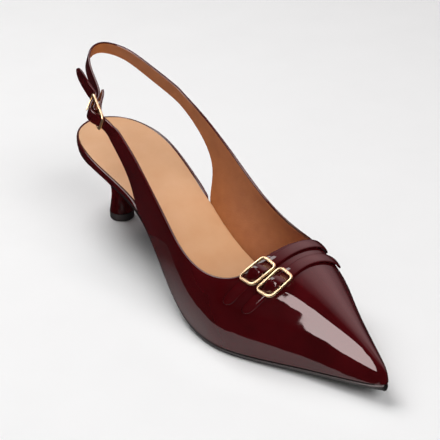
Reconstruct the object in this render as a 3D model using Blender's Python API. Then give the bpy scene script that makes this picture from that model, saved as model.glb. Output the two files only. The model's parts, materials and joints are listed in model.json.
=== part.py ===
"""Pointed toe slingback pump with a slim low heel, the right shoe of a pair.

Sizes are millimetres until a mesh is made. x runs forward from the back of the seat, y to the
medial (inner) side and z up from the floor. One last surface, a family of cross sections, gives the
upper, the vamp straps and the places of their buckles. Long pieces are lofts of closed rings.
"""

import bmesh
import bpy
import numpy as np
from mathutils import Matrix

METRES = 0.001
GAP = 0.3

# Driving sizes
LENGTH = 260.0
BALL_WIDTH = 70.0
SEAT_HEIGHT = 53.5
INSTEP = 50.0
TOE_SWING = 7.3
SWING_POWER = 1.5
TOE_SPRING = 6.8

# Thicknesses and heights measured down from the top of the insole
WALL = 1.7
WELT = 2.0
FOREPART = 5.9
STRAP = 1.4
RIM = 0.5
NARROWEST = 0.2


def table(columns, *rows):
    """Named columns of a short table, one row for each section."""
    return dict(zip(columns.split(), np.array(rows, float).T))


# Half widths of the bottom outline as shares of the ball width, u as share of the length
OUTLINE = table(
    "u lateral medial",
    (0.00, 0.000, 0.000),
    (0.03, 0.218, 0.218),
    (0.08, 0.310, 0.310),
    (0.14, 0.351, 0.351),
    (0.24, 0.339, 0.324),
    (0.34, 0.338, 0.268),
    (0.42, 0.388, 0.242),
    (0.50, 0.447, 0.275),
    (0.57, 0.489, 0.352),
    (0.63, 0.503, 0.446),
    (0.68, 0.490, 0.505),
    (0.74, 0.416, 0.482),
    (0.82, 0.280, 0.348),
    (0.90, 0.169, 0.212),
    (0.96, 0.094, 0.112),
    (1.00, 0.000, 0.000),
)

# Height of the insole edge: lift is the share of the heel, spring the share of the toe spring
EDGE = table(
    "u lift spring",
    (0.000, 0.992, 0.00),
    (0.085, 0.955, 0.00),
    (0.185, 0.876, 0.00),
    (0.285, 0.768, 0.00),
    (0.390, 0.585, 0.00),
    (0.490, 0.275, 0.00),
    (0.570, 0.070, 0.00),
    (0.655, 0.000, 0.00),
    (0.735, 0.000, 0.00),
    (0.815, 0.000, 0.18),
    (0.900, 0.000, 0.52),
    (1.000, 0.000, 1.00),
)

# Cross sections of the last: ridge height as share of the instep, rise of the side wall in mm,
# outward lean of each wall, and how far each roof runs out flat, as share of the half width.
# Behind the throat the ridge is only a guide for the walls.
SECTIONS = table(
    "u ridge rise lean_lateral lean_medial roof_lateral roof_medial",
    (0.14, 2.64, 42.0, 0.05, -0.14, 0.90, 0.64),
    (0.21, 2.60, 42.0, 0.05, -0.01, 0.92, 0.70),
    (0.29, 2.50, 40.0, 0.07, 0.25, 0.90, 1.00),
    (0.37, 2.24, 40.0, 0.06, 0.46, 0.84, 1.22),
    (0.45, 1.86, 36.0, 0.00, 0.58, 0.78, 1.45),
    (0.55, 1.40, 36.0, 0.04, 0.46, 0.76, 1.10),
    (0.63, 1.15, 31.0, 0.08, 0.22, 0.76, 0.80),
    (0.70, 1.00, 28.0, 0.10, 0.12, 0.72, 0.68),
    (0.77, 0.88, 23.0, 0.06, 0.10, 0.66, 0.66),
    (0.84, 0.74, 18.0, 0.03, 0.10, 0.63, 0.64),
    (0.91, 0.59, 12.0, 0.00, 0.08, 0.60, 0.62),
    (0.97, 0.44, 7.0, 0.00, 0.03, 0.60, 0.60),
    (1.00, 0.32, 4.0, 0.00, 0.00, 0.60, 0.60),
)

# Places on the last: across is -1 at the lateral edge, 0 on the ridge and +1 at the medial edge.
# Each row is one fold line of the upper, from its low end to its end on the topline.
LATERAL_FOLDS = table(
    "low_x low_across top_x top_across",
    (66.0, -0.783, 71.0, -0.696),
    (76.0, -0.832, 84.0, -0.722),
    (84.5, -0.902, 98.0, -0.736),
    (89.5, -1.000, 111.0, -0.722),
    (104.0, -1.000, 125.0, -0.692),
    (125.0, -1.000, 140.0, -0.662),
    (150.0, -1.000, 155.0, -0.616),
    (173.0, -1.000, 169.0, -0.550),
    (195.0, -1.000, 179.5, -0.455),
    (217.0, -1.000, 183.8, -0.325),
    (241.0, -1.000, 184.0, -0.160),
    (260.0, -1.000, 183.2, 0.000),
)
MEDIAL_FOLDS = table(
    "low_x low_across top_x top_across",
    (260.0, 1.000, 183.2, 0.000),
    (241.0, 1.000, 181.5, 0.160),
    (217.0, 1.000, 179.5, 0.320),
    (195.0, 1.000, 172.5, 0.450),
    (173.0, 1.000, 162.0, 0.530),
    (150.0, 1.000, 150.0, 0.600),
    (127.0, 1.000, 136.0, 0.655),
    (110.0, 1.000, 119.0, 0.672),
    (97.0, 1.000, 105.0, 0.686),
    (93.0, 0.882, 93.0, 0.692),
    (82.5, 0.795, 78.0, 0.672),
    (66.0, 0.728, 67.0, 0.650),
    (57.0, 0.708, 62.0, 0.634),
)


def spline(knots, values):
    """Natural cubic curve through values given at knots."""
    knots = np.asarray(knots, float)
    values = np.asarray(values, float)
    count = len(knots)
    step = np.diff(knots)
    matrix = np.eye(count)
    right = np.zeros_like(values)
    for i in range(1, count - 1):
        matrix[i, i - 1:i + 2] = step[i - 1], 2 * (step[i - 1] + step[i]), step[i]
        right[i] = 6 * ((values[i + 1] - values[i]) / step[i] - (values[i] - values[i - 1]) / step[i - 1])
    bend = np.linalg.solve(matrix, right)

    def curve(at):
        at = np.asarray(at, float)
        i = np.clip(np.searchsorted(knots, at) - 1, 0, count - 2)
        width = step[i]
        past = at - knots[i]
        left = knots[i + 1] - at
        if values.ndim > 1:
            width, past, left = width[..., None], past[..., None], left[..., None]
        cubic = (bend[i] * left ** 3 + bend[i + 1] * past ** 3) / (6 * width)
        line = (values[i] / width - bend[i] * width / 6) * left
        return cubic + line + (values[i + 1] / width - bend[i + 1] * width / 6) * past

    return curve


def swing(u):
    """Angle-like measure of u that rounds the outline at both ends."""
    return np.arccos(np.clip(1 - 2 * np.asarray(u, float), -1, 1)) / np.pi


HALF = {side: spline(swing(OUTLINE["u"]), OUTLINE[side] * BALL_WIDTH) for side in ("lateral", "medial")}
LIFT = spline(EDGE["u"], EDGE["lift"])
SPRING = spline(EDGE["u"], EDGE["spring"])
SECTION = {name: spline(swing(SECTIONS["u"]), SECTIONS[name]) for name in SECTIONS if name != "u"}


def half_width(u, side):
    """Half width of the bottom outline, side -1 lateral and +1 medial."""
    name = "medial" if side > 0 else "lateral"
    return HALF[name](swing(u))


def centre_line(u):
    """Sideways shift of the centre line, which swings to the medial side at the toe."""
    past_middle = np.clip(2 * np.asarray(u, float) - 1, 0, 1)
    return TOE_SWING * past_middle ** SWING_POWER


def edge_height(u):
    """Height of the top of the insole at its edge."""
    return FOREPART + (SEAT_HEIGHT - FOREPART) * LIFT(u) + TOE_SPRING * SPRING(u)


def last(x, across):
    """Points on the outside of the last."""
    x, across = np.broadcast_arrays(np.asarray(x, float), np.asarray(across, float))
    u = np.clip(x / LENGTH, 0, 1)
    turn = swing(u)
    medial = across >= 0
    half = np.where(medial, HALF["medial"](turn), HALF["lateral"](turn))
    lean = np.where(medial, SECTION["lean_medial"](turn), SECTION["lean_lateral"](turn))
    roof = np.where(medial, SECTION["roof_medial"](turn), SECTION["roof_lateral"](turn))
    rise = SECTION["rise"](turn)
    foot = edge_height(u) - WELT
    t = 1 - np.abs(across)
    start, pull, draw, end = (1 - t) ** 3, 3 * (1 - t) ** 2 * t, 3 * (1 - t) * t ** 2, t ** 3
    out = start * half + pull * (half + lean * rise) + draw * roof * half
    up = start * foot + pull * (foot + rise) + (draw + end) * SECTION["ridge"](turn) * INSTEP
    return np.stack([x, centre_line(u) + np.where(medial, 1, -1) * out, up], -1)


def unit(vectors):
    """Vectors of length one."""
    return vectors / np.maximum(np.linalg.norm(vectors, axis=-1, keepdims=True), 1e-9)


def make_material(name, colour, roughness, metallic=0.0):
    """Principled material from an sRGB hex colour."""
    shares = [int(colour[i:i + 2], 16) / 255 for i in (0, 2, 4)]
    linear = [((c + 0.055) / 1.055) ** 2.4 if c > 0.04 else c / 12.92 for c in shares]
    material = bpy.data.materials.new(name)
    material.use_nodes = True
    shader = material.node_tree.nodes["Principled BSDF"]
    shader.inputs["Base Color"].default_value = (*linear, 1)
    shader.inputs["Roughness"].default_value = roughness
    shader.inputs["Metallic"].default_value = metallic
    return material


def add_object(name, bm, material):
    """Object of one closed body with its faces pointing out."""
    bmesh.ops.recalc_face_normals(bm, faces=bm.faces)
    if bm.calc_volume(signed=True) < 0:
        bmesh.ops.reverse_faces(bm, faces=bm.faces)
    mesh = bpy.data.meshes.new(name)
    bm.to_mesh(mesh)
    bm.free()
    mesh.materials.append(material)
    mesh.shade_smooth()
    mesh.set_sharp_from_angle(angle=np.radians(40))
    piece = bpy.data.objects.new(name, mesh)
    bpy.context.collection.objects.link(piece)
    return piece


def loft(name, rings, material, closed=False, strip=False):
    """Skin over rings of points, shape (rings, points, 3), capped at both ends unless it closes on itself.

    The caps of a strip run from one long face of the ring to the other.
    """
    bm = bmesh.new()
    loops = [[bm.verts.new(point * METRES) for point in ring] for ring in rings]
    pairs = list(zip(loops[:-1], loops[1:]))
    if closed:
        pairs.append((loops[-1], loops[0]))
    size = len(loops[0])
    for near, far in pairs:
        for i in range(size):
            j = (i + 1) % size
            bm.faces.new((near[i], near[j], far[j], far[i]))
    for loop in [] if closed else (loops[0], loops[-1]):
        if strip:
            for i in range(size // 2 - 1):
                bm.faces.new((loop[i], loop[i + 1], loop[size - 2 - i], loop[size - 1 - i]))
            bm.faces.new(loop[size // 2 - 1:size // 2 + 2])
        else:
            bm.faces.new(loop)
    return add_object(name, bm, material)


def inset_width(x, side, inset):
    """Half width inside the bottom outline, which is moved forward and not sideways at the back."""
    round_end = max(0.0, 1 - x / SEAT_ROUND)
    wide = half_width((x - inset * round_end) / LENGTH, side) - inset * (1 - round_end)
    return max(wide, NARROWEST)


def slab_rings(x_lateral, x_medial, inset, top, bottom, softness, rim=None):
    """Rings across a flat layer of the bottom: top and bottom are drops below the insole edge.

    A rim gives its height above the layer's top, which then lies in a shallow tray.
    """
    rings = []
    for xs in zip(x_lateral, x_medial):
        ring = {}
        for side, x in zip((-1, 1), xs):
            u = x / LENGTH
            wide = inset_width(x, side, inset(u))
            soft = min(softness, SOFT_WIDTH * wide)
            high = edge_height(u) - top(u, side)
            low = max(edge_height(u) - bottom(u, side), 0.0)
            tray = []
            if rim:
                raised = high + rim(x, side)
                floor = high if x > RIM_WIDTH else raised
                inner = min(inset_width(x, side, RIM_WIDTH), wide - soft - RIM_SLOPE)
                tray = [(SOFT_WIDTH * inner, floor), (inner, floor), (inner + RIM_SLOPE, raised)]
                high = raised
            round_off = min(softness, SOFT_HEIGHT * (high - low))
            upper_edge = [(wide - soft, high), (wide, high - round_off)]
            lower_edge = [(wide, low + round_off), (wide - soft, low)]
            outline = tray + upper_edge + lower_edge
            ring[side] = [(x, centre_line(u) + side * out, z) for out, z in outline]
        rings.append(ring[-1][::-1] + ring[1])
    return np.array(rings)


def stations(first, last_x, count, toe=False, back=False):
    """x values along the shoe, closer together at a rounded end."""
    share = np.linspace(0, 1, count)
    if toe:
        share = np.sin(share * np.pi / 2)
    if back:
        share = 1 - np.cos(share * np.pi / 2)
    return first + (last_x - first) * share


# Layers under the foot: drops below the top of the insole as functions of u
SEAT_ROUND = 30.0
SEAT_END = {-1: 88.9, 1: 96.4}
SOFT_WIDTH = 0.6
SOFT_HEIGHT = 0.35
SOCK_SOFT = 0.4
BOARD_SOFT = 0.9
SOLE_SOFT = 1.1
RIM_WIDTH = 1.9
RIM_SLOPE = 0.25
RIM_FADE = 6.0
SOCK_PROUD = 0.1
SOCK = spline((0.0, 0.30, 0.335, 0.385, 0.42, 1.0), (1.0, 1.0, 1.0, 2.0, 2.0, 2.0))
BOARD_DROP = spline((0.0, 0.27, 0.54, 0.80, 0.92, 1.0), (5.8, 5.8, 5.2, 3.7, 2.7, 2.2))
SOLE_DROP = spline(
    (0.14, 0.20, 0.30, 0.40, 0.50, 0.60, 0.70, 1.0),
    (8.4, 8.2, 7.6, 7.2, 6.6, 6.0, 5.95, 6.0),
)
SOCK_INSET = spline((0.0, 0.29, 0.36, 0.40, 1.0), (2.2, 2.2, 2.4, 2.6, 3.1))
SOLE_INSET = spline((0.14, 0.24, 0.34, 0.44, 0.60, 1.0), (3.0, 2.0, 1.0, 0.6, 0.6, 0.6))
SOCK_BACK = 2.25
SOCK_MIDDLE = 60.0
SOCK_FRONT = 251.0
BOARD_BACK = 0.05
BOARD_MIDDLE = 53.0
TRAY_BACK = (RIM_WIDTH - 0.15, RIM_WIDTH + 0.05)
HEEL_BREAST = 39.0
SOLE_BACK = HEEL_BREAST + 1.2
SOLE_MIDDLE = 200.0
SOLE_FRONT = LENGTH - 1.0


def board_drop(u, side):
    """Drop to the underside of the seat board, thinned towards its front end."""
    return BOARD_DROP(np.clip(u * LENGTH / SEAT_END[side], 0, 1))


def sole_top(u, side):
    """Drop to the top of the outsole, under the seat board and then under the upper."""
    return max(board_drop(u, side), WELT) + GAP


def sole_bottom(u, side):
    """Drop to the tread."""
    return SOLE_DROP(u)


def board_top(u, side):
    """Drop to the top of the seat board, under the sock."""
    return SOCK(u) + GAP


def board_rim(x, side):
    """Height of the rim that the seat board raises round the sock, down to nothing at the wings."""
    return (board_top(x / LENGTH, side) - SOCK_PROUD) * np.clip((SEAT_END[side] - x) / RIM_FADE - 0.5, 0, 1)


def make_insole(material):
    """Sock on the foot bed: inside the rim of the seat board, then inside the wall of the upper."""
    seat = stations(SOCK_BACK, SOCK_MIDDLE, 14, back=True)
    x = np.append(seat, stations(SOCK_MIDDLE, SOCK_FRONT, 26)[1:])
    rings = slab_rings(x, x, SOCK_INSET, lambda u, side: 0.0, lambda u, side: SOCK(u), SOCK_SOFT)
    return loft("insole", rings, material)


def make_seat_board(material):
    """Patent covered board under the heel, its front end slanting from one wing to the other."""
    seat = np.sort(np.append(stations(BOARD_BACK, BOARD_MIDDLE, 16, back=True), TRAY_BACK))
    x = {side: np.append(seat, stations(BOARD_MIDDLE, SEAT_END[side], 9)[1:]) for side in SEAT_END}
    rings = slab_rings(x[-1], x[1], lambda u: 0.0, board_top, board_drop, BOARD_SOFT, board_rim)
    return loft("seat_board", rings, material)


def make_outsole(material):
    """Thin sole from the heel breast to the toe, flat under the ball."""
    waist = stations(SOLE_BACK, SOLE_MIDDLE, 34)
    x = np.append(waist, stations(SOLE_MIDDLE, SOLE_FRONT, 20, toe=True)[1:])
    rings = slab_rings(x, x, SOLE_INSET, sole_top, sole_bottom, SOLE_SOFT)
    return loft("outsole", rings, material)


# Heel: height as share of the way to the seat, then x of back, widest place and front, and half width
HEEL = table(
    "share back middle front half_width",
    (0.00, 18.6, 26.0, 33.4, 7.2),
    (0.10, 18.9, 26.0, 33.1, 7.0),
    (0.25, 20.3, 26.1, 31.9, 5.7),
    (0.40, 20.7, 26.1, 31.5, 5.2),
    (0.54, 18.8, 26.0, 32.2, 6.4),
    (0.68, 14.2, 26.2, 33.8, 10.2),
    (0.80, 8.8, 27.6, 35.6, 15.2),
    (0.91, 3.9, 30.6, 37.4, 20.4),
    (1.00, 0.9, 34.5, HEEL_BREAST, 23.5),
)
HEEL_RINGS = 18
HEEL_AXIS = 26.0
TIP_HEIGHT = 4.4
TIP_EASE = 0.6
TIP_FOOT = 0.93
HEEL_FORM = {name: spline(HEEL["share"], HEEL[name]) for name in HEEL if name != "share"}


def heel_outline(share, points=28):
    """Outline of the heel at a share of its height: two half ellipses that meet at the widest place."""
    angle = np.linspace(0, 2 * np.pi, points, endpoint=False)
    middle = HEEL_FORM["middle"](share)
    ahead = HEEL_FORM["front"](share) - middle
    behind = middle - HEEL_FORM["back"](share)
    reach = np.where(np.cos(angle) > 0, ahead, behind)
    return middle + reach * np.cos(angle), HEEL_FORM["half_width"](share) * np.sin(angle)


def seat_underside(x):
    """Height of the top of the heel."""
    u = np.clip(x, 0, LENGTH) / LENGTH
    return edge_height(u) - board_drop(u, 1) - GAP


def make_heel(material):
    """Slim curved heel under the seat, its top ring bent to the seat's underside."""
    ceiling = seat_underside(heel_outline(1.0)[0])
    lowest = (TIP_HEIGHT + GAP) / seat_underside(HEEL_AXIS)
    rings = []
    for share in np.linspace(lowest, 1.0, HEEL_RINGS):
        x, y = heel_outline(share)
        rings.append(np.stack([x, y, share * ceiling], -1))
    rings[0][:, 2] = TIP_HEIGHT + GAP
    return loft("heel", np.array(rings), material)


def make_heel_tip(material):
    """Top piece that stands on the floor, its lower edge eased."""
    rings = []
    for height, size in ((0.0, TIP_FOOT), (TIP_EASE, 1.0), (TIP_HEIGHT, 1.0)):
        x, y = heel_outline(height / seat_underside(HEEL_AXIS))
        rings.append(np.stack([HEEL_AXIS + (x - HEEL_AXIS) * size, y * size, np.full_like(x, height)], -1))
    return loft("heel_tip", np.array(rings), material)


UPPER_ROWS = 8
SIDE_COLUMNS = 42
TOE_WALL = 0.28
THROAT = 183.2
ON_SOLE = 0.01


def fold_lines(folds, columns):
    """Columns spread over a table of folds: low and top ends as (x, across)."""
    index = np.arange(len(folds["low_x"]))
    at = np.linspace(0, index[-1], columns)
    corner = np.abs(folds["low_across"]) >= 1
    low_x = LENGTH * (1 - np.cos(np.pi * spline(index, swing(folds["low_x"] / LENGTH))(at))) / 2
    low_across = np.interp(at, index, folds["low_across"])
    wing = index[~corner]
    if wing[0] == 0:
        edge = np.append(wing, wing[-1] + 1)
    else:
        edge = np.insert(wing, 0, wing[0] - 1)
    on_wing = (at >= edge[0]) & (at <= edge[-1])
    low_across[on_wing] = spline(edge, folds["low_across"][edge])(at[on_wing])
    top_x = spline(index, folds["top_x"])(at)
    top_across = spline(index, folds["top_across"])(at)
    return low_x, low_across, top_x, top_across


def skirt(rows):
    """Grid on the last from the lateral wing round the toe to the medial wing, low edge to topline."""
    lateral = fold_lines(LATERAL_FOLDS, SIDE_COLUMNS)
    medial = fold_lines(MEDIAL_FOLDS, SIDE_COLUMNS + 4)
    grid = []
    folds = [np.append(outer, inner[1:]) for outer, inner in zip(lateral, medial)]
    for low_x, low_across, top_x, top_across in zip(*folds):
        reach = np.clip((low_x - top_x) / (LENGTH - THROAT), 0, 1)
        t = np.linspace(0, 1, rows)
        climb = (1 - reach) * t + reach * np.clip(t / TOE_WALL, 0, 1)
        run = (1 - reach) * t + reach * np.clip((t - TOE_WALL) / (1 - TOE_WALL), 0, 1)
        x = low_x + (top_x - low_x) * run
        across = low_across + (top_across - low_across) * climb
        grid.append(last(x, across))
    return np.array(grid)


def grid_normals(grid):
    """Outward directions of a grid whose columns run from low edge to topline."""
    along = np.gradient(grid, axis=0)
    up = np.gradient(grid, axis=1)
    return unit(np.cross(along, up))


def wall_ring(outside, inside):
    """Closed ring of a wall from matching rows of its two faces, with a rounded upper edge."""
    top = (outside[-1] + inside[-1]) / 2 + RIM * unit(outside[-1] - outside[-2])
    return np.concatenate([outside, top[None], inside[::-1]])


def upper_faces():
    """Outer and inner face of the upper as grids."""
    outside = skirt(UPPER_ROWS)
    inside = outside - WALL * grid_normals(outside)
    on_sole = np.abs(outside[:, 0, 2] - (edge_height(outside[:, 0, 0] / LENGTH) - WELT)) < ON_SOLE
    inside[on_sole, 0, 2] = outside[on_sole, 0, 2]
    return outside, inside


def make_upper(material):
    """Hollow wall of the vamp and wings."""
    rings = np.array([wall_ring(*faces) for faces in zip(*upper_faces())])
    return loft("upper", rings, material, strip=True)


# Straps and wires
SLING_WIDTH = 8.2
SLING_TAPER = 60.0
BILLET_TAPER = 5.0
BILLET_TIP = 7.0
LEAVE_WING = 26.0
SLING_WIRE = 0.8
SLING_BAR = 0.7
SLING_PRONG = 0.5
SLING_CORNER = 1.7
SLING_FRAME_LENGTH = 16.4
SLING_FRAME_WIDTH = 10.4
VAMP_STRAP_WIDTH = 6.0
VAMP_CLEAR = 0.25
VAMP_WIRE = 0.85
VAMP_BAR = 0.65
VAMP_CORNER = 2.0
VAMP_FRAME_LENGTH = 14.0
HUMP = 3.3
HUMP_REACH = 6.3

# Rings for each millimetre of a strap, the turn that earns one more, and how far its round end closes
STRAP_RINGS = 0.2
STRAP_TURN = 0.4
STRAP_TIP_RINGS = 0.5
VAMP_RINGS = 0.3
VAMP_END_RINGS = 1.2
VAMP_BAR_RINGS = 0.5
TIP_SQUARED = 0.97
VAMP_END = 0.985

# Small steps for directions: along a strap, along the last and across it
STEP = 0.1
STEP_X = 0.5
STEP_ACROSS = 0.01

# Sling buckle: its centre, the way the strap runs through it and the strap's upright direction
BUCKLE_CENTRE = np.array((54.2, -25.5, 83.2))
BUCKLE_ALONG = unit(np.array((-0.83, 0.14, 0.53)))
STRAP_UP = unit(np.array((0.5, 0.0, 0.87)))
BUCKLE_UP = unit(STRAP_UP - BUCKLE_ALONG * (STRAP_UP @ BUCKLE_ALONG))
BUCKLE_OUT = -np.cross(BUCKLE_ALONG, BUCKLE_UP)

# Sling round the heel, middle of the strap, then its weave through the buckle
SLING = table(
    "x y z",
    (38.0, 14.4, 93.4),
    (24.0, 8.0, 99.6),
    (16.6, -1.2, 102.0),
    (19.8, -9.6, 100.4),
    (31.5, -15.8, 95.2),
)
SLING_END = table(
    "along out",
    (9.0, -4.3),
    (4.6, -1.3),
    (0.6, 1.75),
    (-1.2, 1.30),
    (-1.75, 0.0),
    (-1.2, -1.30),
    (0.6, -1.85),
    (4.6, -4.0),
    (9.0, -6.4),
    (11.0, -6.8),
)
BILLET = table(
    "along out",
    (-8.2, -2.05),
    (-4.2, 1.7),
    (0.0, 3.85),
    (4.2, 1.6),
    (8.4, -2.05),
    (12.5, -1.6),
    (20.0, -0.2),
    (29.5, 0.8),
)
PRONG = table(
    "along out",
    (SLING_FRAME_LENGTH / 2, 0.3),
    (2.0, 4.9),
)


def in_buckle(rows):
    """Places of the buckle's own frame in the shoe."""
    return BUCKLE_CENTRE + np.outer(rows["along"], BUCKLE_ALONG) + np.outer(rows["out"], BUCKLE_OUT)


def spread(length, spacing):
    """Positions along a length whose distance apart follows a function of the position."""
    fine = np.linspace(0, length, 800)
    count = np.append(0, np.cumsum(np.diff(fine) / spacing((fine[1:] + fine[:-1]) / 2)))
    return np.interp(np.linspace(0, count[-1], int(np.ceil(count[-1])) + 1), count, fine)


def strap_line(wing, places):
    """Smooth line from the last two columns of a wing through given places, and its length."""
    points = np.concatenate([wing.mean(axis=(1, 2)), places])
    chord = np.append(0, np.cumsum(np.sqrt(np.linalg.norm(np.diff(points, axis=0), axis=1))))
    fine = spline(chord, points)(np.linspace(chord[1], chord[-1], 800))
    length = np.append(0, np.cumsum(np.linalg.norm(np.diff(fine, axis=0), axis=1)))
    return spline(length, fine), length[-1]


def heading(line, length, at):
    """Direction of a line at a position along it."""
    at = np.clip(at, STEP, length - STEP)
    return unit(line(at + STEP) - line(at - STEP))


def smooth_step(value):
    """Share from 0 to 1 that starts and ends level."""
    value = np.clip(value, 0, 1)
    return value * value * (3 - 2 * value)


def band(name, wing, places, taper, tip, material):
    """Strap that goes on from a wing: its first ring repeats the wing's last one across the gap."""
    line, length = strap_line(wing, places)
    end = wing[-1]
    first_up = unit(end[0, -1] - end[0, 0])
    first_width = np.linalg.norm(end[0, -1] - end[0, 0]) + RIM
    outward = unit(end[0].mean(axis=0) - end[1].mean(axis=0))

    def spacing(at):
        ways = [heading(line, length, at + way * 2 * STEP) for way in (1, -1)]
        turn = np.linalg.norm(ways[0] - ways[1], axis=-1) / (4 * STEP)
        near_tip = np.clip(1 - (length - at) / max(tip, 1.0), 0, 1)
        return 1 / (STRAP_RINGS + turn / STRAP_TURN + near_tip * STRAP_TIP_RINGS)

    rings = [wall_ring(*(end + GAP * heading(line, length, 0.0)))]
    for at in spread(length, spacing)[1:]:
        forward = heading(line, length, at)
        share = smooth_step(at / taper)
        upright = unit(first_up * (1 - share) + STRAP_UP * share)
        upright = unit(upright - forward * (upright @ forward))
        side = np.cross(forward, upright)
        outward = side if side @ outward > 0 else -side
        half = (first_width + (SLING_WIDTH - first_width) * share) / 2
        if tip:
            half *= np.sqrt(1 - TIP_SQUARED * np.clip((at - length + tip) / tip, 0, 1) ** 2)
        thick = WALL + (STRAP - WALL) * share
        rows = line(at) + np.linspace(-half, half - RIM, UPPER_ROWS)[:, None] * upright
        faces = np.stack([rows + thick / 2 * outward, rows - thick / 2 * outward])
        own = smooth_step(at / min(taper, LEAVE_WING))
        rings.append(wall_ring(*(faces * own + (end + line(at) - line(0.0)) * (1 - own))))
    return loft(name, np.array(rings), material, strip=True)


def make_sling(material):
    """Strap round the heel from the medial wing, folded round the bar of its buckle."""
    wing = np.stack(upper_faces(), 1)[-2:]
    places = np.concatenate([np.stack(list(SLING.values()), -1), in_buckle(SLING_END)])
    return band("sling_strap", wing, places, SLING_TAPER, 0.0, material)


def make_billet(material):
    """Strap from the lateral wing through the sling buckle to its free tip."""
    wing = np.stack(upper_faces(), 1)[1::-1]
    return band("billet_strap", wing, in_buckle(BILLET), BILLET_TAPER, BILLET_TIP, material)


def tube(name, points, radius, material, closed=False, sides=8):
    """Round wire along points that lie near one plane."""
    if closed:
        forward = np.roll(points, -1, axis=0) - np.roll(points, 1, axis=0)
        flat = unit(np.cross(points - points.mean(axis=0), np.roll(points, -1, axis=0) - points).sum(axis=0))
    else:
        forward = np.gradient(points, axis=0)
        flat = unit(np.cross(forward[0], np.roll(forward[0], 1)))
    side = unit(np.cross(unit(forward), flat))
    rise = np.cross(side, unit(forward))
    angle = np.linspace(0, 2 * np.pi, sides, endpoint=False) + np.pi / sides
    turn = radius * (np.cos(angle)[:, None, None] * side + np.sin(angle)[:, None, None] * rise)
    return loft(name, points[:, None] + turn.transpose(1, 0, 2), material, closed)


def unite(base, others):
    """Join overlapping bodies into the first one."""
    for other in others:
        modifier = base.modifiers.new("join", "BOOLEAN")
        modifier.operation = "UNION"
        modifier.solver = "EXACT"
        modifier.object = other
        bpy.context.view_layer.objects.active = base
        bpy.ops.object.modifier_apply(modifier=modifier.name)
        bpy.data.objects.remove(other)
    return base


def rounded_frame(reach, breadth, corner, arc=5, rail=4):
    """Closed outline with rounded corners as (along, up) places."""
    outline = []
    quarter = np.linspace(0, np.pi / 2, arc)
    corners = ((1, 1), (-1, 1), (-1, -1), (1, -1))
    for number, (right, high) in enumerate(corners):
        angle = quarter + number * np.pi / 2
        middle = np.array((right * (reach - corner), high * (breadth - corner)))
        outline.extend(middle + corner * np.stack([np.cos(angle), np.sin(angle)], -1))
        if number % 2 == 0:
            start = outline[-1]
            run = np.array((-2 * right * (reach - corner), 0.0))
            outline.extend(start + run * share for share in np.linspace(0, 1, rail + 2)[1:-1])
    return np.array(outline)


def make_sling_buckle(material):
    """Gold frame of the sling with its middle bar and prong."""

    def place(along, up, out):
        ways = (along, BUCKLE_ALONG), (up, BUCKLE_UP), (out, BUCKLE_OUT)
        return BUCKLE_CENTRE + sum(np.multiply.outer(amount, way) for amount, way in ways)

    outline = rounded_frame(SLING_FRAME_LENGTH / 2, SLING_FRAME_WIDTH / 2, SLING_CORNER)
    frame = tube("sling_buckle", place(outline[:, 0], outline[:, 1], 0.0), SLING_WIRE, material, closed=True)
    reach = SLING_FRAME_WIDTH / 2
    bar = tube("bar", place(np.zeros(2), np.array((-reach, reach)), 0.0), SLING_BAR, material)
    prong = tube("prong", place(PRONG["along"], 0.0, PRONG["out"]), SLING_PRONG, material)
    return unite(frame, [bar, prong])


# Vamp straps: their middle lines on the last from the lateral end to the medial end
REAR_STRAP = table(
    "x across",
    (182.0, -0.660),
    (188.0, -0.330),
    (188.5, -0.100),
    (186.0, 0.110),
    (181.5, 0.385),
    (175.0, 0.625),
)
FRONT_STRAP = table(
    "x across",
    (191.5, -0.660),
    (197.5, -0.350),
    (198.0, -0.110),
    (195.5, 0.100),
    (191.5, 0.435),
    (187.0, 0.625),
)
# Ways along the straps to the middle bars of their buckles
REAR_BUCKLE = 22.5
FRONT_BUCKLE = 21.0

# Cross section of a vamp strap: side as share of the half width, height off the last
VAMP_PROFILE = table(
    "side height",
    (-1.00, 0.3),
    (-1.00, 1.1),
    (-0.85, 1.5),
    (0.00, 1.7),
    (0.85, 1.5),
    (1.00, 1.1),
    (1.00, 0.3),
)


def vamp_line(rows):
    """Places (x, across) of a vamp strap by the way along it, and its length."""
    index = np.arange(len(rows["x"]))
    fine = spline(index, np.stack([rows["x"], rows["across"]], -1))(np.linspace(0, index[-1], 400))
    length = np.append(0, np.cumsum(np.linalg.norm(np.diff(last(*fine.T), axis=0), axis=1)))
    return lambda at: [np.interp(at, length, column) for column in fine.T], length[-1]


def above_vamp(place, side, height):
    """Points over the last: side is the way forward from a place on it, height the way off it."""
    x, across = place
    stretch = np.linalg.norm(last(x + STEP_X, across) - last(x - STEP_X, across), axis=-1) / (2 * STEP_X)
    x = x + side / stretch
    ahead = last(x + STEP_X, across) - last(x - STEP_X, across)
    around = last(x, across + STEP_ACROSS) - last(x, across - STEP_ACROSS)
    return last(x, across) + np.asarray(height)[..., None] * unit(np.cross(ahead, around))


def make_vamp_strap(name, rows, buckle_at, material):
    """Strap over the vamp with rounded ends, humped over the bar of its buckle."""
    line, length = vamp_line(rows)
    half = VAMP_STRAP_WIDTH / 2

    def spacing(at):
        near_end = np.clip(1 - np.minimum(at, length - at) / half, 0, 1)
        near_bar = np.abs(at - buckle_at) < HUMP_REACH
        return 1 / (VAMP_RINGS + near_end * VAMP_END_RINGS + near_bar * VAMP_BAR_RINGS)

    rings = []
    for at in spread(length, spacing):
        past = np.clip(np.abs(at - buckle_at) / HUMP_REACH, 0, 1)
        hump = HUMP * np.cos(past * np.pi / 2) ** 2
        inward = np.clip(1 - min(at, length - at) / half, 0, VAMP_END)
        wide = half * np.sqrt(1 - inward ** 2)
        x, across = line(np.full(len(VAMP_PROFILE["side"]), at))
        rings.append(above_vamp((x, across), VAMP_PROFILE["side"] * wide, VAMP_PROFILE["height"] + hump))
    return loft(name, np.array(rings), material)


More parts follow.
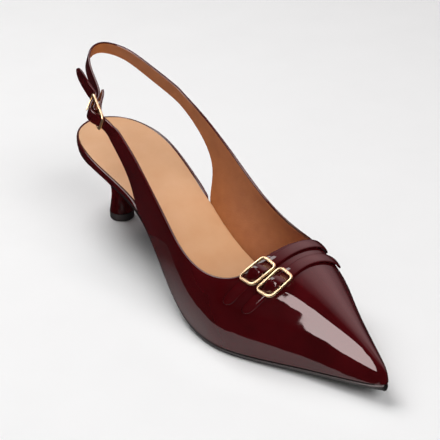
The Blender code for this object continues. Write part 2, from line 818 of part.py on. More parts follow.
def make_vamp_buckle(name, rows, buckle_at, material):
    """Gold frame bent to the vamp round its strap, with a middle bar under the strap."""
    line, _ = vamp_line(rows)
    rail = VAMP_STRAP_WIDTH / 2 + VAMP_CLEAR + VAMP_WIRE
    height = VAMP_PROFILE["height"].max() + GAP + VAMP_WIRE
    outline = rounded_frame(VAMP_FRAME_LENGTH / 2, rail, VAMP_CORNER)
    frame = above_vamp(line(buckle_at + outline[:, 0]), outline[:, 1], np.full(len(outline), height))
    ends = above_vamp(line(np.full(2, buckle_at)), np.array((-rail, rail)), np.full(2, height))
    body = tube(name, frame, VAMP_WIRE, material, closed=True)
    return unite(body, [tube("bar", ends, VAMP_BAR, material)])


def centre(pieces):
    """Move all pieces so that the origin is the middle of the shoe's box, on the floor."""
    corners = np.array([vertex.co for piece in pieces for vertex in piece.data.vertices])
    low = corners.min(axis=0)
    high = corners.max(axis=0)
    move = Matrix.Translation((-(low[0] + high[0]) / 2, -(low[1] + high[1]) / 2, -low[2]))
    for piece in pieces:
        piece.data.transform(move)


def main():
    """Build every piece of the shoe."""
    for piece in list(bpy.data.objects):
        bpy.data.objects.remove(piece)
    patent = make_material("burgundy patent leather", "4a0d14", 0.12)
    tan = make_material("tan sock leather", "d9a678", 0.55)
    black = make_material("black sole leather", "151315", 0.45)
    gold = make_material("pale gold plated brass", "e3c58a", 0.2, 1.0)
    pieces = [
        make_upper(patent),
        make_insole(tan),
        make_seat_board(patent),
        make_outsole(black),
        make_heel(patent),
        make_heel_tip(black),
        make_sling(patent),
        make_billet(patent),
        make_sling_buckle(gold),
    ]
    for place, rows, buckle_at in (("rear", REAR_STRAP, REAR_BUCKLE), ("front", FRONT_STRAP, FRONT_BUCKLE)):
        pieces.append(make_vamp_strap("vamp_strap_" + place, rows, buckle_at, patent))
        pieces.append(make_vamp_buckle("vamp_buckle_" + place, rows, buckle_at, gold))
    centre(pieces)


main()
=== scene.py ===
# %% [markdown]
# # A pointed patent leather pump with a buckled sling
# The shoe is a right-hand court shoe in dark red patent leather. It has a long pointed toe, two narrow
# straps with gold buckles across the vamp, a strap round the back of the foot and a small set-back heel.
# The CAD frame already has every piece in its place and at its size. This lesson turns those faceted
# solids into smooth surfaces, gives each one the finish of the real material, and lights the shoe as a
# product photograph does.

# %% Load the frame and note its box
import json
import math
from heapq import heappop, heappush
from itertools import count

import bmesh
import bpy
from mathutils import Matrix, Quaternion, Vector, kdtree

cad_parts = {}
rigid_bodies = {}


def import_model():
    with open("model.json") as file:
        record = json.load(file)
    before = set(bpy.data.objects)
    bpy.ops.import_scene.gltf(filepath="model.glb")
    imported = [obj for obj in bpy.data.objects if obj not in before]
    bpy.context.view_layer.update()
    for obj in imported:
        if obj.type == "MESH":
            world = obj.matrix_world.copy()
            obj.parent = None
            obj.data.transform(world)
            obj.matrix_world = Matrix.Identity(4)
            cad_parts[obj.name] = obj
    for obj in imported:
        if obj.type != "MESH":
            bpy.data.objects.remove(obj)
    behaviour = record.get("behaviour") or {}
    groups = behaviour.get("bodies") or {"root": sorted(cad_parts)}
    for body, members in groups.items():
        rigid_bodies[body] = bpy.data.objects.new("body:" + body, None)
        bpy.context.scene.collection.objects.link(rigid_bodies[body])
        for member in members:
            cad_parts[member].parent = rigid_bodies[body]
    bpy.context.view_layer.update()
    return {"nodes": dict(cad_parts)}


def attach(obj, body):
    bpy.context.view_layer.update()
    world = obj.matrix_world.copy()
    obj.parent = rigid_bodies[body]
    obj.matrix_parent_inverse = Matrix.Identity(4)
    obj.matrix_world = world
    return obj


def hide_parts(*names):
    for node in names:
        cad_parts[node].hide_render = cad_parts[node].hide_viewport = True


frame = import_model()
MM = 0.001
print("nodes in the frame:", len(frame["nodes"]))

# %% [markdown]
# ## Helpers for taking a CAD node over
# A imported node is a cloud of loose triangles. A smooth surface wants a mesh of connected quads, because a
# subdivision surface follows quads evenly and puckers on stray diagonals. So each node is copied, its
# doubled corners are merged, and the diagonal of every triangle pair is dissolved. Blender has its own
# operator for that last step, but it judges each pair alone and leaves a few wrong ones. The walk below
# starts at the squarest pair and goes from neighbour to neighbour, since diagonals in a grid all lean the
# same way. A grid of triangles can be paired in three ways, so each is tried, and the squarest one is kept.

# %% Copy, merge and select
MERGE = 0.001 * MM


def edit(piece, mode="VERT"):
    """Enters edit mode on this piece alone, with nothing selected, and hands back its mesh."""
    if bpy.context.mode != "OBJECT":
        bpy.ops.object.mode_set(mode="OBJECT")
    bpy.ops.object.select_all(action="DESELECT")
    piece.select_set(True)
    bpy.context.view_layer.objects.active = piece
    bpy.ops.object.mode_set(mode="EDIT")
    bpy.ops.mesh.select_mode(type=mode)
    bpy.ops.mesh.select_all(action="DESELECT")
    return bmesh.from_edit_mesh(piece.data)


def show_selection(piece, bm):
    """Carries a selection that was made in code over to the operators."""
    bm.select_flush_mode()
    bmesh.update_edit_mesh(piece.data)


def leave():
    """Back to object mode."""
    bpy.ops.object.mode_set(mode="OBJECT")


def copied(name, *cad_names):
    """One new object with a merged copy of these CAD nodes."""
    bpy.ops.object.select_all(action="DESELECT")
    for cad_name in cad_names:
        part = bpy.data.objects.new(name, frame["nodes"][cad_name].data.copy())
        bpy.context.collection.objects.link(part)
        part.select_set(True)
        bpy.context.view_layer.objects.active = part
    if len(cad_names) > 1:
        bpy.ops.object.join()
    piece = bpy.context.view_layer.objects.active
    piece.name = name
    piece.data.name = name
    piece.data.materials.clear()
    edit(piece)
    bpy.ops.mesh.select_all(action="SELECT")
    bpy.ops.mesh.customdata_custom_splitnormals_clear()
    bpy.ops.mesh.remove_doubles(threshold=MERGE)
    leave()
    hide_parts(*cad_names)
    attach(piece, "root")
    return piece


# %% Judge a pair of triangles
FOLD_WEIGHT = 5


def corner_error(edge):
    """How far the two triangles at an edge are from making a flat rectangle."""
    first, second = edge.link_faces
    near, far = (next(v.co for v in face.verts if v not in edge.verts) for face in (first, second))
    start, end = (v.co for v in edge.verts)
    sides = [(start - near).normalized(), (end - near).normalized()]
    sides += [(end - far).normalized(), (start - far).normalized()]
    slant = sum(abs(sides[i].dot(sides[(i + 1) % 4])) for i in range(4))
    fold = 1 - first.normal.dot(second.normal)
    return slant + FOLD_WEIGHT * fold


def leaning_alike(face, diagonal, errors):
    """The diagonals beside this face, if they lean the way its own one does."""
    apex = next(v for v in face.verts if v not in diagonal.verts)
    for edge in face.edges:
        if edge is diagonal or edge not in errors:
            continue
        other = next(f for f in edge.link_faces if f is not face)
        far = next(v for v in other.verts if v not in edge.verts)
        guess = next(e for e in other.edges if apex in e.verts and far in e.verts)
        if guess in errors:
            yield guess


# %% Walk over the grid and dissolve the diagonals
def walk(seed, errors, done):
    """Faces reached from one diagonal, each with its own, the squarest neighbour first."""
    taken = {}
    ticket = count()
    line = [(0, next(ticket), seed)]
    while line:
        diagonal = heappop(line)[-1]
        if any(face in taken or face in done for face in diagonal.link_faces):
            continue
        for face in diagonal.link_faces:
            taken[face] = diagonal
            for guess in leaning_alike(face, diagonal, errors):
                heappush(line, (errors[guess], next(ticket), guess))
    return taken


def to_quads(piece):
    """Drops the diagonal of every triangle pair, after trying each edge of the first triangle as one."""
    bm = edit(piece, "EDGE")
    errors = {edge: corner_error(edge) for edge in bm.edges if len(edge.link_faces) == 2}
    done = {}
    for seed in sorted(errors, key=errors.get):
        if any(face in done for face in seed.link_faces):
            continue
        ways = [edge for edge in seed.link_faces[0].edges if edge in errors]
        tries = [walk(way, errors, done) for way in ways]
        tries = [taken for taken in tries if taken]
        done.update(min(tries, key=lambda taken: sum(map(errors.get, taken.values())) / len(taken)))
    for diagonal in set(done.values()):
        diagonal.select = True
    show_selection(piece, bm)
    bpy.ops.mesh.dissolve_edges(use_verts=False, use_face_split=False)
    leave()
    print(piece.name, "has", len(piece.data.polygons), "faces after its diagonals went")


# %% Keep hard edges hard, and smooth the rest
SHADE_ANGLE = 40


def crease_edges(piece, angle):
    """Edges sharper than this many degrees stay crisp under the subdivision."""
    edit(piece, "EDGE")
    bpy.ops.mesh.edges_select_sharp(sharpness=math.radians(angle))
    bpy.ops.transform.edge_crease(value=1.0)
    leave()


def smoothed(piece, levels=2):
    """A subdivision surface, applied, with smooth shading except at crisp edges."""
    bpy.ops.object.select_all(action="DESELECT")
    piece.select_set(True)
    bpy.context.view_layer.objects.active = piece
    surface = piece.modifiers.new("smooth", "SUBSURF")
    surface.levels = levels
    surface.render_levels = levels
    bpy.ops.object.modifier_apply(modifier=surface.name)
    bpy.ops.object.shade_smooth_by_angle(angle=math.radians(SHADE_ANGLE))
    print(piece.name, "is smooth, with", len(piece.data.polygons), "faces")


# %% [markdown]
# ## The upper, the sling and the billet
# On the real shoe these are one skin: the quarters run back into two straps, the inner one goes round the
# heel as the sling, and the outer one, the billet, passes through the buckle. The CAD keeps them as three
# solids 0.3 mm apart. Bridging the joints by hand would work, but the rings on both sides already match,
# so the end caps are deleted and the pairs of corners merged, which leaves one continuous surface. The
# triangles are paired while the three solids are still apart, because each is a plain grid by itself, and
# a walk across a joint would carry the lean of one grid into the next.

# %% Join the three solids
skin = copied("patent_upper", "upper", "sling_strap", "billet_strap")
print("the three solids have", len(skin.data.vertices), "corners")

# %% Find the joints
SKIN_GAP = 0.36 * MM


def islands(bm):
    """A number for each corner, the same for all that are connected."""
    group = {}
    for start in bm.verts:
        if start in group:
            continue
        line = [start]
        group[start] = start.index
        while line:
            for edge in line.pop().link_edges:
                for corner in edge.verts:
                    if corner not in group:
                        group[corner] = start.index
                        line.append(corner)
    return group


bm = edit(skin)
bm.verts.ensure_lookup_table()
group = islands(bm)
tree = kdtree.KDTree(len(bm.verts))
for corner in bm.verts:
    tree.insert(corner.co, corner.index)
tree.balance()
for corner in bm.verts:
    close = (bm.verts[index] for _, index, _ in tree.find_range(corner.co, SKIN_GAP))
    corner.select = any(group[other] != group[corner] for other in close)
show_selection(skin, bm)
print("corners at the two joints:", sum(corner.select for corner in bm.verts))

# %% Take the caps off and pair the triangles
bpy.ops.mesh.delete(type="FACE")
to_quads(skin)

# %% Close the joints
edit(skin)
bpy.ops.mesh.select_non_manifold(
    extend=False, use_wire=False, use_multi_face=False, use_non_contiguous=False
)
bpy.ops.mesh.remove_doubles(threshold=SKIN_GAP)
leave()
print("the skin has", len(skin.data.polygons), "faces")

# %% [markdown]
# The wall of the upper has two sides. The outside and its folded edge are patent leather, the inside is a
# plain tan lining. The corners along the top line are sharp before smoothing, so marking those edges lets
# a linked selection stop there, and the lining is picked with one click inside the toe.

# %% Mark the sharp edges
SHEET_ANGLE = 29
edit(skin, "EDGE")
bpy.ops.mesh.edges_select_sharp(sharpness=math.radians(SHEET_ANGLE))
bpy.ops.mesh.mark_sharp()
bm = bmesh.from_edit_mesh(skin.data)
print("sharp edges:", sum(not edge.smooth for edge in bm.edges))

# %% Pick the lining
INSIDE_TOE = Vector((40, 0, 20)) * MM


def facing(face, spot):
    """Distance to a spot, for faces that look towards it."""
    reach = spot - face.calc_center_median()
    return reach.length if face.normal.dot(reach) > 0 else math.inf


bpy.ops.mesh.select_mode(type="FACE")
bpy.ops.mesh.select_all(action="DESELECT")
bm = bmesh.from_edit_mesh(skin.data)
seed = min(bm.faces, key=lambda face: facing(face, INSIDE_TOE))
seed.select = True
bm.faces.active = seed
show_selection(skin, bm)
bpy.ops.mesh.select_linked(delimit={"SHARP"})
bm = bmesh.from_edit_mesh(skin.data)
for face in bm.faces:
    face.material_index = int(face.select)
print("lining faces:", sum(face.select for face in bm.faces), "of", len(bm.faces))
bpy.ops.mesh.select_all(action="SELECT")
bpy.ops.mesh.mark_sharp(clear=True)
leave()

# %% Smooth the skin
# Edges as sharp as the feather edge, where the upper meets the sole, stay crisp.
FEATHER_ANGLE = 75
crease_edges(skin, FEATHER_ANGLE)
smoothed(skin)

# %% [markdown]
# ## Straps and buckles
# Each vamp strap is a narrow band of the same patent leather that lies over the vamp and rises over its
# buckle's middle bar. The bands only need the same smoothing. The buckles are cast frames with a bar, and
# the CAD joins round wires by a boolean, which leaves uneven triangles at the joints. A voxel remesh
# followed by a light smoothing rounds these the way plating fills the corners of a real casting.

# %% Straps of the vamp
for name, cad_name in (("rear_vamp_strap", "vamp_strap_rear"), ("front_vamp_strap", "vamp_strap_front")):
    strap = copied(name, cad_name)
    to_quads(strap)
    smoothed(strap)

# %% Buckles
VOXEL = 0.16 * MM
SMOOTH_SHARE = 0.5
SMOOTH_STEPS = 6
for name, cad_name in (
    ("rear_vamp_buckle", "vamp_buckle_rear"),
    ("front_vamp_buckle", "vamp_buckle_front"),
    ("sling_buckle_casting", "sling_buckle"),
):
    buckle = copied(name, cad_name)
    remesh = buckle.modifiers.new("even", "REMESH")
    remesh.mode = "VOXEL"
    remesh.voxel_size = VOXEL
    bpy.ops.object.modifier_apply(modifier=remesh.name)
    round_off = buckle.modifiers.new("round", "SMOOTH")
    round_off.factor = SMOOTH_SHARE
    round_off.iterations = SMOOTH_STEPS
    bpy.ops.object.modifier_apply(modifier=round_off.name)
    bpy.ops.object.shade_smooth()
    print(buckle.name, "has", len(buckle.data.polygons), "faces")

# %% [markdown]
# ## Sock, seat board, heel and sole
# The sock is the tan leather one looks down on. The seat board under it and the heel are covered in the
# patent leather, the sole is thin black leather, and the heel ends in a small black top piece. Their CAD
# sections already have softened corners, so a subdivision surface follows them closely.

# %% Sock
sock = copied("insole_sock", "insole")
to_quads(sock)
smoothed(sock)

# %% [markdown]
# A real sock is glued in last and touches the lining all round. The CAD leaves a narrow gap there, and
# light would show through it. Scaling the whole sock would push it over the rim of the seat too. So the
# edge is moved outwards along its own normals, and only in front of the seat. The front end is then drawn
# into the toe with proportional editing, and narrowed so that it stays inside the wall.

# %% Let the sock touch the lining
SOCK_GROWS = 0.9 * MM
SEAT_FRONT = (-40 * MM, -30 * MM)
for corner in sock.data.vertices:
    side = corner.normal.copy()
    side.z = 0
    reach = (corner.co.x - SEAT_FRONT[0]) / (SEAT_FRONT[1] - SEAT_FRONT[0])
    corner.co += side * SOCK_GROWS * min(max(reach, 0), 1)
print("the sock is", round(sock.dimensions.y / MM, 1), "mm wide")

# %% Run the sock into the toe
SOCK_TOE = 120.5 * MM
TOE_NARROWS = (1, 0.6, 1)
TOE_MOVES = (4.5 * MM, 0.4 * MM, 0.5 * MM)
soft = {
    "use_proportional_edit": True,
    "proportional_edit_falloff": "SMOOTH",
    "proportional_size": 4 * MM,
}
bm = edit(sock)
for corner in bm.verts:
    corner.select = corner.co.x > SOCK_TOE
show_selection(sock, bm)
bpy.ops.transform.resize(value=TOE_NARROWS, **soft)
bpy.ops.transform.translate(value=TOE_MOVES, **soft)
leave()
print("the sock ends at", round(max(corner.co.x for corner in sock.data.vertices) / MM), "mm")

# %% Seat board
board = copied("covered_seat_board", "seat_board")
to_quads(board)
smoothed(board)

# %% Heel, top piece and sole
CRISP = 50
for name, cad_name, slot in (
    ("covered_heel", "heel", "patent"),
    ("top_piece", "heel_tip", "top_piece"),
    ("leather_sole", "outsole", "tread"),
):
    piece = copied(name, cad_name)
    to_quads(piece)
    crease_edges(piece, CRISP)
    smoothed(piece)

# %% [markdown]
# ## Materials
# Colours are written as the sRGB values one reads off a picture, and one function turns them to the
# linear values that the shader wants. Another small function adds a node with its settings and links.
# Every pattern reads object coordinates, which are metres here, so its scale follows from its real size.

# %% Colour and node helpers
def colour(code):
    """An sRGB hex value as linear red, green, blue and alpha."""
    parts = [int(code[i:i + 2], 16) / 255 for i in (0, 2, 4)]
    return [c / 12.92 if c <= 0.04045 else ((c + 0.055) / 1.055) ** 2.4 for c in parts] + [1.0]


def node(owner, kind, links=None, sockets=None, **settings):
    """Adds a node, with values on its sockets and links from other nodes' sockets."""
    made = owner.node_tree.nodes.new(kind)
    for key, value in settings.items():
        setattr(made, key, value)
    for key, value in (sockets or {}).items():
        made.inputs[key].default_value = value
    for key, source in (links or {}).items():
        owner.node_tree.links.new(source, made.inputs[key])
    return made


def fresh(name):
    """An empty material with its shader, and the object's own coordinates in metres."""
    material = bpy.data.materials.new(name)
    material.use_nodes = True
    shader = material.node_tree.nodes["Principled BSDF"]
    place = node(material, "ShaderNodeTexCoord").outputs["Object"]
    print("material", name)
    return material, shader, place


def per_mm(size):
    """The scale of a pattern whose features are this many millimetres wide."""
    return 1 / (size * MM)


# %% [markdown]
# Patent leather is leather under a thick clear lacquer. One glossy shader would do for a plain look, but
# then colour and mirror share a surface. The shader's coat is the lacquer here: a sharp clear mirror over
# a coloured base. The base has no gloss of its own, because under lacquer it doesn't meet the air.

# %% Patent leather
# A deep, nearly even colour, mirror reflections, and a slow waviness where the leather isn't flat.
DYE_CLOUD = 18
LACQUER_WAVE = 9
patent, shader, place = fresh("burgundy_patent_leather")
shade = node(patent, "ShaderNodeTexNoise", {"Vector": place}, {"Scale": per_mm(DYE_CLOUD), "Detail": 3.0})
tint = node(patent, "ShaderNodeValToRGB", {"Fac": shade.outputs["Fac"]})
tint.color_ramp.elements[0].position = 0.3
tint.color_ramp.elements[0].color = colour("3b070a")
tint.color_ramp.elements[1].position = 0.7
tint.color_ramp.elements[1].color = colour("48090e")
wave = node(patent, "ShaderNodeTexNoise", {"Vector": place}, {"Scale": per_mm(LACQUER_WAVE), "Detail": 1.0})
swell = node(
    patent,
    "ShaderNodeBump",
    {"Height": wave.outputs["Fac"]},
    {"Strength": 0.25, "Distance": 0.4 * MM},
)
links = patent.node_tree.links
links.new(tint.outputs["Color"], shader.inputs["Base Color"])
links.new(swell.outputs["Normal"], shader.inputs["Normal"])
links.new(swell.outputs["Normal"], shader.inputs["Coat Normal"])
shader.inputs["Roughness"].default_value = 0.35
shader.inputs["Specular IOR Level"].default_value = 0.0
shader.inputs["Coat Weight"].default_value = 1.0
shader.inputs["Coat Roughness"].default_value = 0.04

# %% [markdown]
# Lining and sock are bare tanned leather. A picture of leather would need unwrapping, and the two only
# show soft clouds of colour and a fine grain. So a noise tints each one, and a cell pattern raises its
# pores. Real pores are about 0.2 mm wide, too fine to show, so they are drawn about 1 mm wide.

# %% Lining leather
# Thin vegetable-tanned lining, matt and a little uneven in colour.
LINING_CLOUD = 6
LINING_PORE = 0.9
lining, shader, place = fresh("tan_lining_leather")
shade = node(lining, "ShaderNodeTexNoise", {"Vector": place}, {"Scale": per_mm(LINING_CLOUD), "Detail": 4.0})
tint = node(lining, "ShaderNodeValToRGB", {"Fac": shade.outputs["Fac"]})
tint.color_ramp.elements[0].color = colour("a25b23")
tint.color_ramp.elements[1].color = colour("bd743a")
pores = node(lining, "ShaderNodeTexVoronoi", {"Vector": place}, {"Scale": per_mm(LINING_PORE)})
grain = node(
    lining,
    "ShaderNodeBump",
    {"Height": pores.outputs["Distance"]},
    {"Strength": 0.3, "Distance": 0.15 * MM},
)
links = lining.node_tree.links
links.new(tint.outputs["Color"], shader.inputs["Base Color"])
links.new(grain.outputs["Normal"], shader.inputs["Normal"])
shader.inputs["Roughness"].default_value = 0.6

# %% Sock leather
# Smooth tan leather with a satin finish, its grain only just visible.
SOCK_CLOUD = 14
SOCK_PORE = 1.1
sock_leather, shader, place = fresh("tan_sock_leather")
shade = node(
    sock_leather, "ShaderNodeTexNoise", {"Vector": place}, {"Scale": per_mm(SOCK_CLOUD), "Detail": 5.0}
)
tint = node(sock_leather, "ShaderNodeValToRGB", {"Fac": shade.outputs["Fac"]})
tint.color_ramp.elements[0].color = colour("cd986b")
tint.color_ramp.elements[1].color = colour("dbae86")
pores = node(sock_leather, "ShaderNodeTexVoronoi", {"Vector": place}, {"Scale": per_mm(SOCK_PORE)})
grain = node(
    sock_leather,
    "ShaderNodeBump",
    {"Height": pores.outputs["Distance"]},
    {"Strength": 0.25, "Distance": 0.15 * MM},
)
links = sock_leather.node_tree.links
links.new(tint.outputs["Color"], shader.inputs["Base Color"])
links.new(grain.outputs["Normal"], shader.inputs["Normal"])
shader.inputs["Roughness"].default_value = 0.5

# %% [markdown]
# The sole is leather dyed black and burnished, and the top piece is hard moulded rubber. Both are nearly
# black, so their colour says little, and it is the sheen that tells them apart: satin with a fine fibre on
# the leather, and a duller surface with a speckle on the rubber.

# %% Sole leather
# Dark satin with a fine grain.
FIBRE = 1.2
sole_leather, shader, place = fresh("black_sole_leather")
fibre = node(sole_leather, "ShaderNodeTexNoise", {"Vector": place}, {"Scale": per_mm(FIBRE), "Detail": 6.0})
tint = node(sole_leather, "ShaderNodeValToRGB", {"Fac": fibre.outputs["Fac"]})
tint.color_ramp.elements[0].color = colour("0a0909")
tint.color_ramp.elements[1].color = colour("151313")
grain = node(
    sole_leather,
    "ShaderNodeBump",
    {"Height": fibre.outputs["Fac"]},
    {"Strength": 0.3, "Distance": 0.2 * MM},
)
links = sole_leather.node_tree.links
links.new(tint.outputs["Color"], shader.inputs["Base Color"])
links.new(grain.outputs["Normal"], shader.inputs["Normal"])
shader.inputs["Roughness"].default_value = 0.42

# %% Top piece
# Matt black with a fine speckle.
SPECKLE = 0.6
rubber, shader, place = fresh("black_moulded_rubber")
speckle = node(rubber, "ShaderNodeTexNoise", {"Vector": place}, {"Scale": per_mm(SPECKLE), "Detail": 2.0})
tint = node(rubber, "ShaderNodeValToRGB", {"Fac": speckle.outputs["Fac"]})
tint.color_ramp.elements[0].color = colour("141213")
tint.color_ramp.elements[1].color = colour("242122")
rubber.node_tree.links.new(tint.outputs["Color"], shader.inputs["Base Color"])
shader.inputs["Roughness"].default_value = 0.65

# %% [markdown]
# The buckles are cast brass, polished and plated in pale gold. A metal takes its look from what it
# mirrors, and with one even roughness it looks like paint. A slow noise moves the roughness a little,
# as fingers do on real plating.

# %% Plated brass
# Bright mirror, with faint cloudiness from handling.
HANDLING = 2.5
gold, shader, place = fresh("pale_gold_plated_brass")
cloud = node(gold, "ShaderNodeTexNoise", {"Vector": place}, {"Scale": per_mm(HANDLING), "Detail": 3.0})
haze = node(gold, "ShaderNodeMapRange", {"Value": cloud.outputs["Fac"]}, {"To Min": 0.26, "To Max": 0.42})
gold.node_tree.links.new(haze.outputs["Result"], shader.inputs["Roughness"])
shader.inputs["Base Color"].default_value = colour("f3ddb2")
shader.inputs["Metallic"].default_value = 1.0

# %% Give each piece its finish
finishes = {
    "patent_upper": (patent, lining),
    "rear_vamp_strap": (patent,),
    "front_vamp_strap": (patent,),
    "covered_seat_board": (patent,),
    "covered_heel": (patent,),
    "insole_sock": (sock_leather,),
    "leather_sole": (sole_leather,),
    "top_piece": (rubber,),
    "rear_vamp_buckle": (gold,),
    "front_vamp_buckle": (gold,),
    "sling_buckle_casting": (gold,),
}
for name, materials in finishes.items():
    for material in materials:
        bpy.data.objects[name].data.materials.append(material)
print("pieces with a finish:", len(finishes))

# %% [markdown]
# ## Floor, card and flag
# The shoe stands on pale paper. Lacquer shows mostly what it mirrors, so this little studio is arranged
# for its mirrored image as much as for its light. A floor mirrored all over would make the whole low side
# of the shoe pale. So the floor is left out of the reflections, and a white card stands in for it, cut to
# the line where the reflection ends. The card's fade to black towards the heel is painted shade, for the
# floor beside the arch and heel that lies in the shoe's shadow. A black flag, as photographers call a
# dark screen, keeps the window off the ends of the vamp straps and gives the highlight its straight edge.

# %% Floor
# Matt paper, nearly even, with broad faint clouds.
FLOOR_SIZE = 6.0
PAPER_CLOUD = 40
bpy.ops.object.select_all(action="DESELECT")
bpy.ops.mesh.primitive_plane_add(size=FLOOR_SIZE, location=(0, 0, 0))
floor = bpy.context.active_object
floor.name = "floor"
paper, shader, place = fresh("pale_paper_floor")
tooth = node(paper, "ShaderNodeTexNoise", {"Vector": place}, {"Scale": per_mm(PAPER_CLOUD), "Detail": 3.0})
tint = node(paper, "ShaderNodeValToRGB", {"Fac": tooth.outputs["Fac"]})
tint.color_ramp.elements[0].color = colour("f1f1f1")
tint.color_ramp.elements[1].color = colour("f5f5f5")
paper.node_tree.links.new(tint.outputs["Color"], shader.inputs["Base Color"])
shader.inputs["Roughness"].default_value = 0.7
floor.data.materials.append(paper)
floor.visible_glossy = False
print("floor", FLOOR_SIZE, "m across")

# %% White card
# Matt card with painted shade: black at the heel end and white towards the toe, for the floor beside the
# arch and heel that lies in the shoe's shadow.
CARD_EDGE = ((-80, -61), (9, -61), (37, -59), (55, -58), (75, -51), (96, -37), (116, -30), (140, -20))
CARD_BACK = 10
CARD_LIFT = 0.2
PAINTED_SHADE_SPAN = {"From Min": -60 * MM, "From Max": 60 * MM}


def only_mirrored(thing):
    """Leaves a stage piece to the reflections, and out of the picture and the light."""
    thing.visible_camera = False
    thing.visible_diffuse = False
    thing.visible_shadow = False


bpy.ops.object.select_all(action="DESELECT")
bpy.ops.mesh.primitive_grid_add(x_subdivisions=len(CARD_EDGE) - 1, y_subdivisions=1, size=1)
card = bpy.context.active_object
card.name = "white_card"
for index, corner in enumerate(card.data.vertices):
    x, y = CARD_EDGE[index % len(CARD_EDGE)]
    corner.co = Vector((x, y if index < len(CARD_EDGE) else CARD_BACK, CARD_LIFT)) * MM
painted_shade_card, shader, place = fresh("white_card_with_painted_shade")
along = node(painted_shade_card, "ShaderNodeSeparateXYZ", {"Vector": place})
# Painted shade: the card darkens towards the heel, where the floor it stands in for is shadowed by the shoe.
painted_shade = node(painted_shade_card, "ShaderNodeMapRange", {"Value": along.outputs["X"]}, PAINTED_SHADE_SPAN)
tint = node(painted_shade_card, "ShaderNodeValToRGB", {"Fac": painted_shade.outputs["Result"]})
tint.color_ramp.elements[1].color = colour("f1f1f1")
painted_shade_card.node_tree.links.new(tint.outputs["Color"], shader.inputs["Base Color"])
shader.inputs["Roughness"].default_value = 0.7
card.data.materials.append(painted_shade_card)
only_mirrored(card)
print("card with", len(card.data.vertices), "corners")

# %% Black flag
# Velvet, which throws back next to nothing.
FLAG = ((10, 15), (100, 15), (100, 100), (91, 117), (91, 200), (10, 200))
FLAG_Y = -120
outline = bpy.data.meshes.new("black_flag")
outline.from_pydata([Vector((x, FLAG_Y, z)) * MM for x, z in FLAG], [], [list(range(len(FLAG)))])
flag = bpy.data.objects.new("black_flag", outline)
bpy.context.collection.objects.link(flag)
velvet, shader, _ = fresh("black_velvet_flag")
shader.inputs["Base Color"].default_value = colour("080607")
shader.inputs["Roughness"].default_value = 1.0
shader.inputs["Specular IOR Level"].default_value = 0.0
flag.data.materials.append(velvet)
only_mirrored(flag)
print("flag with", len(FLAG), "corners,", -FLAG_Y, "mm out from the middle line")

# %% [markdown]
# ## Light
# Light and mirrored light are kept apart, because a panel bright enough for the highlight would bleach
# the leather. A ceiling panel and a front panel light the shoe softly. The window panel only shows in the
# lacquer, as the long highlight on the vamp. The room itself is dim, and its far wall is mirrored with a
# warm glow that gives the inner side of the toe its pale sheen.

# %% Dim room
FAR_WALL = (-0.23, 0.75, 0.62)
ROOM_LIGHT = 0.12
WALL_GLOW = 1.5
bpy.context.scene.view_settings.view_transform = "Standard"
world = bpy.data.worlds.new("dim_room")
bpy.context.scene.world = world
world.use_nodes = True
sky = world.node_tree.nodes["Background"]
sky.inputs["Color"].default_value = colour("d8d8d8")
sky.inputs["Strength"].default_value = ROOM_LIGHT
way = node(world, "ShaderNodeTexCoord").outputs["Generated"]
toward = node(world, "ShaderNodeVectorMath", {0: way}, {1: FAR_WALL}, operation="DOT_PRODUCT")
glow = node(world, "ShaderNodeValToRGB", {"Fac": toward.outputs["Value"]})
glow.color_ramp.elements[0].position = 0.65
glow.color_ramp.elements[0].color = colour("241d1e")
glow.color_ramp.elements[1].position = 0.99
glow.color_ramp.elements[1].color = colour("ffd4d6")
middle = glow.color_ramp.elements.new(0.88)
middle.color = colour("b8979a")
wall = node(world, "ShaderNodeBackground", {"Color": glow.outputs["Color"]}, {"Strength": WALL_GLOW})
glossy = node(world, "ShaderNodeLightPath").outputs["Is Glossy Ray"]
both = node(world, "ShaderNodeMixShader", {0: glossy, 1: sky.outputs[0], 2: wall.outputs[0]})
world.node_tree.links.new(both.outputs[0], world.node_tree.nodes["World Output"].inputs["Surface"])
print("room light", ROOM_LIGHT, "and mirrored wall", WALL_GLOW)

# %% Three soft panels
AIM = Vector((20, 0, 30)) * MM


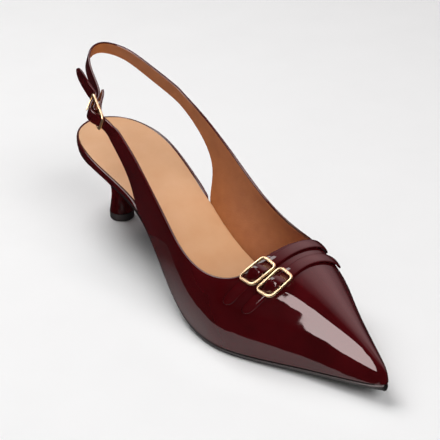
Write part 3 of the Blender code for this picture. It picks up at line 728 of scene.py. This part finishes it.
def panel(name, azimuth, elevation, distance, size, brightness):
    """A soft rectangle of light that faces the shoe. Azimuth 0 is the outer side, 90 the toe."""
    turn, rise = math.radians(azimuth), math.radians(elevation)
    way = Vector((math.sin(turn) * math.cos(rise), -math.cos(turn) * math.cos(rise), math.sin(rise)))
    lamp = bpy.data.lights.new(name, "AREA")
    lamp.shape = "RECTANGLE"
    lamp.size, lamp.size_y = size
    lamp.energy = brightness * math.pi * size[0] * size[1]
    holder = bpy.data.objects.new(name, lamp)
    bpy.context.collection.objects.link(holder)
    holder.location = AIM + way * distance
    holder.rotation_euler = (-way).to_track_quat("-Z", "Y").to_euler()
    print("light", name, round(lamp.energy, 1), "W")
    return holder


window = panel(
    "window_panel", azimuth=8, elevation=29.2, distance=1.0, size=(0.5, 1.07), brightness=10.0
)
window.data.color = colour("ffe9e8")[:3]
window.visible_diffuse = False
panel("ceiling_panel", azimuth=285, elevation=62, distance=1.2, size=(0.8, 0.8), brightness=5.5)
front = panel("front_panel", azimuth=90, elevation=40, distance=1.6, size=(1.2, 0.9), brightness=4.65)
front.visible_glossy = False

# %% [markdown]
# ## Camera
# The photograph looks down on the shoe from in front of its outer side, through a long lens that hardly
# draws the toe larger than the heel. The camera is aimed at the middle of the shoe and then rolled a
# little about its own line of sight, which is easier to set than three angles.

# %% Camera
CAMERA_PLACE = Vector((0.562, -0.350, 0.401))
CAMERA_AIM = Vector((0.000, 0.000, 0.042))
CAMERA_ROLL = math.radians(-2.4)
SENSOR = 36.0
LENS = 120.0
lens = bpy.data.cameras.new("camera")
lens.sensor_width = SENSOR
lens.lens = LENS
camera = bpy.data.objects.new("camera", lens)
bpy.context.collection.objects.link(camera)
camera.location = CAMERA_PLACE
look = (CAMERA_AIM - CAMERA_PLACE).to_track_quat("-Z", "Y")
roll = Quaternion((0, 0, 1), CAMERA_ROLL)
camera.rotation_euler = (look @ roll).to_euler()
bpy.context.scene.camera = camera
print("camera", round((CAMERA_AIM - CAMERA_PLACE).length, 2), "m away")
